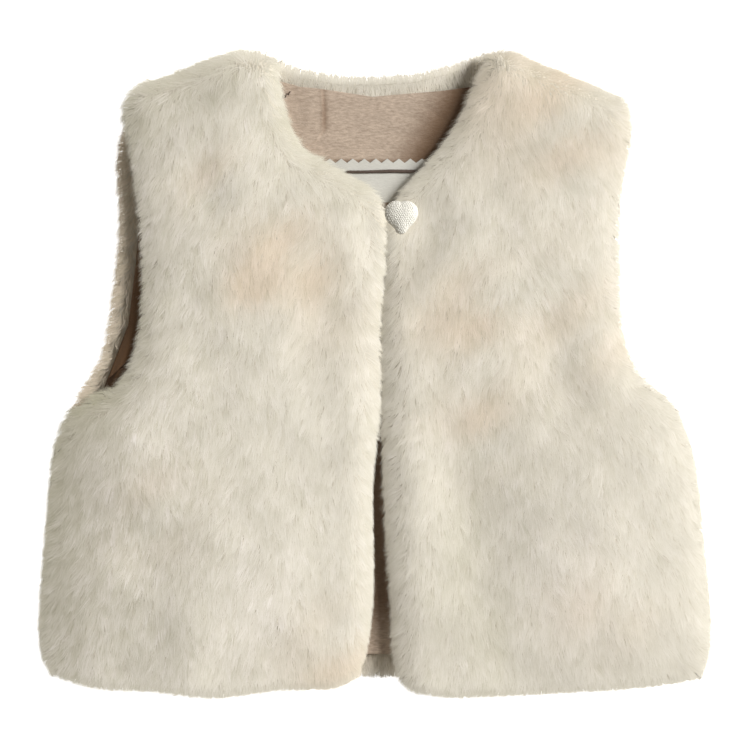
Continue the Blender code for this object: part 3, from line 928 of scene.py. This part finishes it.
def front_lit(node, points, normals):
    """Normals that a front's pile is shaded with: its solid's, with its fall to the side and its swells."""
    lean, start, end = SIDE_LEAN[node]
    lit = normals.copy()
    lit[:, 0] -= GAP_SIDE[node] * lean * smoothstep(start, end, np.abs(points[:, 0]))
    lit[:, 0] += spots(points, SWELLS)
    return lit


def grown(growth, ranges, pull, widths, shares, rng, **looks):
    """Strands from a pile's growth, each a little different; the looks are further fields of the pile."""
    roots, normals, ways, heights, reaches = growth
    count = len(roots)
    ways = turned(ways, normals, rng.normal(0.0, ranges.turn, count))
    return SimpleNamespace(
        roots=roots,
        rises=normals * (heights * rng.uniform(*ranges.rises, count))[:, None],
        runs=ways * (reaches * rng.uniform(*ranges.runs, count))[:, None],
        pulls=pull * rng.uniform(*ranges.pulls, count),
        widths=widths * rng.uniform(*ranges.widths, count),
        normals=normals,
        shares=rng.uniform(*shares, count),
        **looks,
    )


def front_pile(surface, layer, weights, seed, number):
    """One layer of a front's strands."""
    points, normals = surface.scatter(layer.strands, weights, number)
    ways = front_ways(surface, points, normals, layer.turn, seed + 1)
    distance, outward = surface.from_rim(points)
    at_rim = 1 - smoothstep(*RIM_BAND, distance)
    reach = PARTING_REACH[0] + (PARTING_REACH[1] - PARTING_REACH[0]) * np.maximum(outward[:, 1], 0.0)
    parting = smoothstep(*PARTING_FACING, outward[:, 1]) * (1 - smoothstep(*PARTING_EASE, distance / reach))
    return grown(
        (points - normals * FRONT_PILE, normals, ways, FRONT_PILE, STRAND_REACH),
        FRONT_RANGES,
        TUFT_PULL,
        STRAND_WIDTH * layer.width * (1 + (RIM_WIDTH - 1) * at_rim),
        layer.shares,
        rng_for(number + 1),
        lit=front_lit(surface.node, points, normals),
        places=PARTING_PLACE * parting,
        # Painted shade: strands darker near the rim and in the listed spots, lighter in a few
        tones=(1 + (RIM_PAINTED_SHADE - 1) * at_rim) * (1 - spots(points, PAINTED_SHADES)),
        blush=blush_at(points),
    )


def front_fur(node, material, under):
    """Undercoat and strands of a front."""
    seed = FUR_SEEDS[node]
    surface = Surface(node)
    shell = front_undercoat(surface, under)
    weights = densities(surface, FRONT_UNDERSIDE, FRONT_DENSITIES)
    tufts = front_tufts(surface, weights, seed)
    distance, _ = surface.from_rim(surface.middles())
    pieces = []
    for place, layer in enumerate(FRONT_LAYERS, 1):
        number = seed + LAYER_SEEDS * place
        pile = front_pile(surface, layer, weights * (distance < layer.band), seed, number)
        name = f"{node}_{layer.name}_{place}"
        pieces.append(strand_mesh(name, surface, tufts, pile, material, number + 2))
    return shell, pieces


def back_fur(node, covers, material, under):
    """Undercoat and strands of the back: bands that show above, the rim, and a pressed underside."""
    seed = FUR_SEEDS[node]
    surface = Surface(node)
    distance, _ = surface.from_rim(surface.points)
    up = surface.normals[:, 2]
    band = 1 - smoothstep(BACK_BAND, BACK_BAND + BACK_BAND_EASE, distance)
    depth = np.where(up > BACK_TOP, BACK_PILE * band, np.where(up < UNDERSIDE, BACK_UNDER_PILE, BACK_PILE))
    moved = surface.points - surface.normals * depth[:, None]
    shell = shell_object(node + "_undercoat", surface, moved, under)
    weights = densities(surface, UNDERSIDE, BACK_DENSITIES)
    points, normals = back_places(surface, BACK_STRANDS, weights, covers, seed)
    tuft_points, tuft_normals = back_places(surface, BACK_TUFTS, weights, covers, seed + 1)
    tufts = Tufts(*back_growth(surface, tuft_points, tuft_normals, seed), seed + 2)
    distance, outward = surface.from_rim(points)
    sideways = smoothstep(*BACK_SIDE_FACING, np.abs(outward[:, 0]))
    pile = grown(
        back_growth(surface, points, normals, seed),
        BACK_RANGES,
        BACK_PULL,
        BACK_WIDTH,
        PILE.shares,
        rng_for(seed + 3),
        lit=normals,
        # At the sides, painted shade: the roots keep their darkest colour inwards from the edge, and the
        # strands are darker and warmer
        places=BACK_ROOT_PLACE * (1 - sideways * smoothstep(*BACK_INWARDS, distance)),
        tones=1 + (BACK_SIDE_PAINTED_SHADE - 1) * sideways,
        blush=np.maximum(blush_at(points), BACK_SIDE_WARM_SHADE * sideways),
    )
    piece = strand_mesh(node + "_pile", surface, tufts, pile, material, seed + 4)
    keep_above_floor(piece)
    return shell, [piece]


def back_places(surface, count, weights, covers, seed):
    """Random points of the back where its pile shows: (points, normals)."""
    points, normals = surface.scatter(BACK_TRIES * count, weights, seed)
    distance, _ = surface.from_rim(points)
    on_top = normals[:, 2] > TOPSIDE
    buried = on_top & (distance > BACK_BAND)
    buried |= np.array([hidden(point, covers) for point in points]) & on_top
    bare = np.flatnonzero(~buried)
    kept = np.sort(rng_for(seed + 7).permutation(bare)[:count])
    return points[kept], normals[kept]


def back_growth(surface, points, normals, seed):
    """Roots, normals, ways, heights and reaches of the back's pile: outwards above, to the hem below."""
    distance, outward = surface.from_rim(points)
    down = flow_down(points, normals, seed)
    sideways = smoothstep(*BACK_SIDE_FACING, np.abs(outward[:, 0]))
    inwards = sideways * smoothstep(*BACK_INWARDS, distance)
    out = outward * (1 - BACK_TURN_OVER * inwards)[:, None] - (0.0, 0.0, BACK_SINK)
    out[:, 1] -= BACK_DROP * np.abs(outward[:, 0])
    under = normals[:, 2] < UNDERSIDE
    ways = np.where(under[:, None], down, laid(out, normals))
    heights = np.where(under, BACK_UNDER_PILE, BACK_PILE)
    reaches = np.full(len(points), BACK_REACH)
    return points - normals * heights[:, None], normals, ways, heights, reaches


def keep_above_floor(piece):
    count = len(piece.data.vertices)
    places = np.empty(count * 3, np.float32)
    piece.data.vertices.foreach_get("co", places)
    places = places.reshape(-1, 3)
    places[:, 2] = np.maximum(places[:, 2], FLOOR_CLEARANCE)
    piece.data.vertices.foreach_set("co", places.ravel())


def hidden(point, covers):
    """Whether a front lies straight above this point."""
    above = Vector((point[0], point[1], point[2] + COVER_CLEARANCE))
    return any(tree.ray_cast(above, UP)[0] is not None for tree in covers)


def in_window(point):
    """Whether a point of a lining is where the neck, the front gap or the armhole shows it."""
    return any(
        low[0] * MM < point.x < high[0] * MM and low[1] * MM < point.y < high[1] * MM
        for low, high in LINING_WINDOWS
    )


def refine(surface):
    """Splits the lining's edges to small triangles where it shows."""
    mesh = surface.mesh
    for _ in range(REFINE_ROUNDS):
        long_edges = [edge for edge in mesh.edges if edge.calc_length() > LONG_EDGE * cell_at(edge)]
        bmesh.ops.subdivide_edges(mesh, edges=long_edges, cuts=1)
        bmesh.ops.triangulate(mesh, faces=list(mesh.faces))
    surface.read()


def cell_at(edge):
    """Size that the lining's triangles come down to at an edge of its mesh."""
    places = [vert.co for vert in edge.verts]
    if not any(in_window(place) for place in places):
        return COARSE_CELL
    behind = from_pleat(np.array([place[:] for place in places]))
    beside = (behind > PLEAT_BAND[0]) & (behind < PLEAT_BAND[1]) & (places[0].y > PLEAT_EDGE[0][0] * MM)
    return PLEAT_CELL if beside.any() else LINING_CELL


def crease_depths(points):
    """How far the lining's soft creases sink at these points."""
    depth = np.zeros(len(points))
    wind, length_of_wind = CREASE_WAVE
    for across, up, turn, length, width, deep in LINING_CREASES:
        angle = math.radians(turn)
        x = points[:, 0] - across * MM
        y = points[:, 1] - up * MM
        along = x * math.cos(angle) + y * math.sin(angle)
        aside = y * math.cos(angle) - x * math.sin(angle)
        aside = aside + wind * np.sin(along / length_of_wind)
        reach = (along / (length * MM / 2)) ** 2 + (aside / (width * MM)) ** 2
        depth += deep * MM * np.exp(-reach)
    return depth


def from_pleat(points):
    """How far points are behind the pleat's edge, seen across."""
    ups, edges = np.array(PLEAT_EDGE).T * MM
    return np.interp(points[:, 1], ups, edges) - points[:, 0]


def lining_shade(points):
    """Painted shade on a lining: in the gap and the armhole, beside the neck and behind the label's top."""
    across, up, _ = points.T
    starts, ends = GAP_SHADE_ENDS
    gap = GAP_SHADE * smoothstep(*starts, up) * (1 - smoothstep(*ends, up))
    armhole = ARMHOLE_SHADE * (1 - smoothstep(*ARMHOLE_SIDE, across))
    aside = across - np.interp(up, *(np.array(NECK_EDGE) * MM))
    neck = NECK_SHADE * smoothstep(*NECK_SHADE_FROM, aside) * smoothstep(*ends, up)
    low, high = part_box("label")
    behind = (across > low[0]) & (across < high[0]) & (up > low[1])
    teeth = TEETH_SHADE * behind * (1 - smoothstep(*TEETH_SHADE_ENDS, up - high[1]))
    return np.maximum.reduce([gap, armhole, neck, teeth])


def lining(node, material):
    """A lining of jersey: its pleat and creases where they show, with painted shade in its fold and hollows.
    """
    surface = Surface(node)
    refine(surface)
    moved = surface.points.copy()
    # How much painted shade darkens each point of the lining
    painted_shade = np.zeros(len(moved))
    moved[:, 2] -= crease_depths(moved) * CREASE_SINK
    if node == "back_lining":
        distance, _ = surface.from_rim(moved)
        sink = 1 - smoothstep(0.0, LINING_SINK_REACH, distance)
        moved[:, 2] -= LINING_SINK * sink * (1 - smoothstep(*ARMHOLE_SIDE, moved[:, 0]))
        behind = from_pleat(moved)
        raised = smoothstep(-PLEAT_STEP, 0.0, behind) * (1 - smoothstep(*PLEAT_FALL, behind))
        moved[:, 2] += PLEAT_RISE * raised
        # A painted shadow line along the pleat's edge, where its fold shades the lining
        middle, width, dark = PLEAT_SHADOW_LINE
        starts, ends = PLEAT_SHADOW_LINE_ENDS
        painted_shade = dark * np.exp(-((behind + middle) / width) ** 2)
        painted_shade *= smoothstep(*starts, moved[:, 1]) * (1 - smoothstep(*ends, moved[:, 1]))
        lift = np.interp(moved[:, 0], *(np.array(LINING_LIFT).T * MM))
        moved[:, 1] += lift * smoothstep(*LINING_LIFT_FROM, moved[:, 1])
    painted_shade = np.maximum(painted_shade, lining_shade(moved))
    shell = shell_object(node + "_jersey", surface, moved, material)
    store(shell.data, "painted_shade", painted_shade)
    return shell


def tubes(name, paths, radius, material):
    """Threads as one mesh: a closed tube along each path of points."""
    points = []
    faces = []
    for path in paths:
        for number, place in enumerate(path):
            ahead = path[min(number + 1, len(path) - 1)] - path[max(number - 1, 0)]
            side = unit(np.cross(ahead, (0.0, 0.0, 1.0)))
            over = unit(np.cross(side, ahead))
            for k in range(STITCH_SIDES):
                angle = 2 * math.pi * k / STITCH_SIDES
                points.append(place + radius * (math.cos(angle) * side + math.sin(angle) * over))
        first = len(points) - len(path) * STITCH_SIDES
        for number in range(len(path) - 1):
            ring = first + number * STITCH_SIDES
            for k in range(STITCH_SIDES):
                after = (k + 1) % STITCH_SIDES
                faces.append((ring + k, ring + after, ring + STITCH_SIDES + after, ring + STITCH_SIDES + k))
        last = len(points) - STITCH_SIDES
        faces.append(tuple(first + k for k in reversed(range(STITCH_SIDES))))
        faces.append(tuple(last + k for k in range(STITCH_SIDES)))
    mesh = bpy.data.meshes.new(name)
    mesh.from_pydata([tuple(point) for point in points], [], faces)
    mesh.shade_smooth()
    return shown(name, mesh, material)


def arched(start, end, height):
    """A stitch: points from start to end that rise by this height between."""
    path = []
    for t in np.linspace(0.0, 1.0, STITCH_STATIONS):
        path.append(start * (1 - t) + end * t + np.array((0.0, 0.0, height * math.sin(math.pi * t))))
    return path


def label_tape(material):
    """The label: a woven tape with a pinked top, a little wavy."""
    low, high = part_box("label")
    columns = LABEL_TEETH * LABEL_STEPS[0]
    sheet = bmesh.new()
    bmesh.ops.create_grid(sheet, x_segments=columns, y_segments=LABEL_STEPS[1], size=0.5)
    places = np.array([vert.co[:] for vert in sheet.verts]) + (0.5, 0.5, 0.0)
    tooth = np.abs((places[:, 0] * LABEL_TEETH) % 1.0 - 0.5) * 2 * LABEL_TOOTH_DEPTH
    height = high[1] - low[1] - tooth
    across = low[0] + places[:, 0] * (high[0] - low[0])
    up = low[1] + places[:, 1] * height
    moved = np.stack([across, up, np.full(len(places), low[2])], axis=1)
    moved[:, 2] += LABEL_WAVE * (1 + waves(moved, LABEL_WAVE_LENGTH, LABEL_SEED))
    for vert, place in zip(sheet.verts, moved):
        vert.co = place
    bmesh.ops.solidify(sheet, geom=list(sheet.faces), thickness=high[2] - low[2])
    bmesh.ops.recalc_face_normals(sheet, faces=list(sheet.faces))
    mesh = bpy.data.meshes.new("label_tape")
    sheet.to_mesh(mesh)
    sheet.free()
    return shown("label_tape", mesh, material)


def label_stripe(material):
    """A plain stripe across the label, in satin stitch."""
    rng = rng_for(STRIPE_SEED)
    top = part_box("label")[1][2] + 2 * LABEL_WAVE
    wind, length = STRIPE_WIND
    swell, swell_length = STRIPE_SWELL
    paths = []
    for across in np.arange(*STRIPE_ENDS, STITCH_PITCH):
        middle = STRIPE_UP + wind * math.sin(across / length) + rng.normal(0.0, STRIPE_JITTER)
        half = STRIPE_WIDTH / 2 * rng.uniform(*STRIPE_WIDTHS) * (1 + swell * math.sin(across / swell_length))
        start = np.array((across - STITCH_SLANT, middle - half, top))
        end = np.array((across + STITCH_SLANT, middle + half, top))
        paths.append(arched(start, end, STITCH_ARCH))
    return tubes("label_stripe", paths, STITCH_RADIUS, material)


def neck_tacks(material):
    """Tacking stitches at the end of the neck seam, on whatever lies on top there."""
    paths = []
    for across, up, turn, length in TACKS:
        angle = math.radians(turn)
        half = np.array((math.cos(angle), math.sin(angle), 0.0)) * length * MM / 2
        middle = np.array((across * MM, up * MM, top_at(across * MM, up * MM)))
        paths.append(arched(middle - half, middle + half, TACK_ARCH))
    return tubes("neck_tacks", paths, TACK_RADIUS, material)


def top_at(x, y):
    """Height of the highest cloth at a place on the plan."""
    heights = []
    for node in ("back_lining", "back_fur"):
        tree = Surface(node).tree()
        hit = tree.ray_cast(Vector((x, y, HIGH_ABOVE)), DOWN)[0]
        if hit is not None:
            heights.append(hit.z)
    return max(heights)


def button_core(material):
    surface = Surface("button")
    core = shell_object("button_core", surface, surface.points - surface.normals * BUTTON_CORE, material)
    store(core.data, "tone", np.ones(len(surface.points)))
    return core


def button_beads(material):
    """Seed beads in close rows over the button's face."""
    rng = rng_for(BEAD_SEED)
    surface = Surface("button")
    tree = surface.tree()
    low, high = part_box("button")
    row_pitch = BEAD_PITCH * math.sqrt(3) / 2
    middles = []
    for row, y in enumerate(np.arange(low[1], high[1], row_pitch)):
        for x in np.arange(low[0] + (row % 2) * BEAD_PITCH / 2, high[0], BEAD_PITCH):
            jitter = rng.normal(0.0, BEAD_JITTER, 2)
            above = Vector((x + jitter[0], y + jitter[1], HIGH_ABOVE))
            hit, normal, _, _ = tree.ray_cast(above, DOWN)
            if hit is not None and hit.z > low[2] + BEAD_EDGE:
                middles.append(hit - normal * BEAD_SINK)
    ball = bmesh.new()
    bmesh.ops.create_icosphere(ball, subdivisions=BEAD_ROUNDNESS, radius=1.0)
    ball.verts.index_update()
    form = np.array([vert.co[:] for vert in ball.verts])
    faces = np.array([[vert.index for vert in face.verts] for face in ball.faces])
    ball.free()
    middles = np.array([middle[:] for middle in middles])
    radii = BEAD_RADIUS * rng.uniform(*BEAD_SIZES, len(middles))
    points = middles[:, None, :] + form[None, :, :] * radii[:, None, None]
    loops = faces[None, :, :] + len(form) * np.arange(len(middles))[:, None, None]
    mesh = bpy.data.meshes.new("button_beads")
    mesh.from_pydata(points.reshape(-1, 3).tolist(), [], loops.reshape(-1, 3).tolist())
    mesh.shade_smooth()
    store(mesh, "tone", np.repeat(rng.uniform(*BEAD_TONES, len(middles)), len(form)))
    return shown("button_beads", mesh, material)


def lights_and_camera():
    scene = bpy.context.scene
    scene.view_settings.view_transform = "Standard"
    camera = bpy.data.cameras.new("camera")
    camera.sensor_width = SENSOR_WIDTH
    camera.lens = SENSOR_WIDTH * (CAMERA_UP - RIM_UP) / FRAME_WIDTH
    holder = link(bpy.data.objects.new("camera", camera))
    holder.location = (0.0, CAMERA_SHIFT, CAMERA_UP)
    scene.camera = holder

    world = bpy.data.worlds.new("studio")
    world.use_nodes = True
    world.node_tree.nodes["Background"].inputs["Color"].default_value = ROOM_COLOUR
    world.node_tree.nodes["Background"].inputs["Strength"].default_value = ROOM_LIGHT
    scene.world = world

    lamp = bpy.data.lights.new("key", "AREA")
    lamp.shape = "DISK"
    lamp.size = KEY_SIZE
    lamp.energy = KEY_POWER
    body = link(bpy.data.objects.new("key", lamp))
    body.location = KEY_PLACE
    body.rotation_euler = (-Vector(KEY_PLACE)).to_track_quat("-Z", "Y").to_euler()


def floor():
    mesh = bpy.data.meshes.new("floor")
    sheet = bmesh.new()
    bmesh.ops.create_grid(sheet, x_segments=1, y_segments=1, size=FLOOR_SIZE)
    sheet.to_mesh(mesh)
    sheet.free()
    made = Nodes("pale_floor")
    made.set(FLOOR_FINISH)
    mesh.materials.append(made.material)
    link(bpy.data.objects.new("floor", mesh))


def main():
    lights_and_camera()
    floor()
    strand = strand_material()
    under = cloth_material("fur_undercoat")
    jersey = jersey_material()

    covers = [
        BVHTree.FromObject(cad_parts[node], bpy.context.evaluated_depsgraph_get())
        for node in ("front_right_fur", "front_left_fur")
    ]
    shell, pile = back_fur("back_fur", covers, strand, under)
    for piece in [shell] + pile:
        dress(piece)
    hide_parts("back_fur")
    shells = {}
    for node in ("back_lining", "front_right_lining", "front_left_lining"):
        shells[node] = lining(node, jersey)
        dress(shells[node])
        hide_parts(node)
    tacks = neck_tacks(cloth_material("brown_thread"))
    dress(tacks)
    for node in ("front_right_fur", "front_left_fur"):
        front, pile = front_fur(node, strand, under)
        for piece in [front] + pile:
            dress(piece)
        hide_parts(node)

    tape = label_tape(cloth_material("woven_tape"))
    stripe = label_stripe(cloth_material("brown_thread"))
    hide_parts("label")
    for piece in (tape, stripe):
        dress(piece)

    core = button_core(bead_material("bead_setting"))
    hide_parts("button")
    for piece in (core, button_beads(bead_material("seed_bead"))):
        dress(piece)
        piece.visible_shadow = False


main()
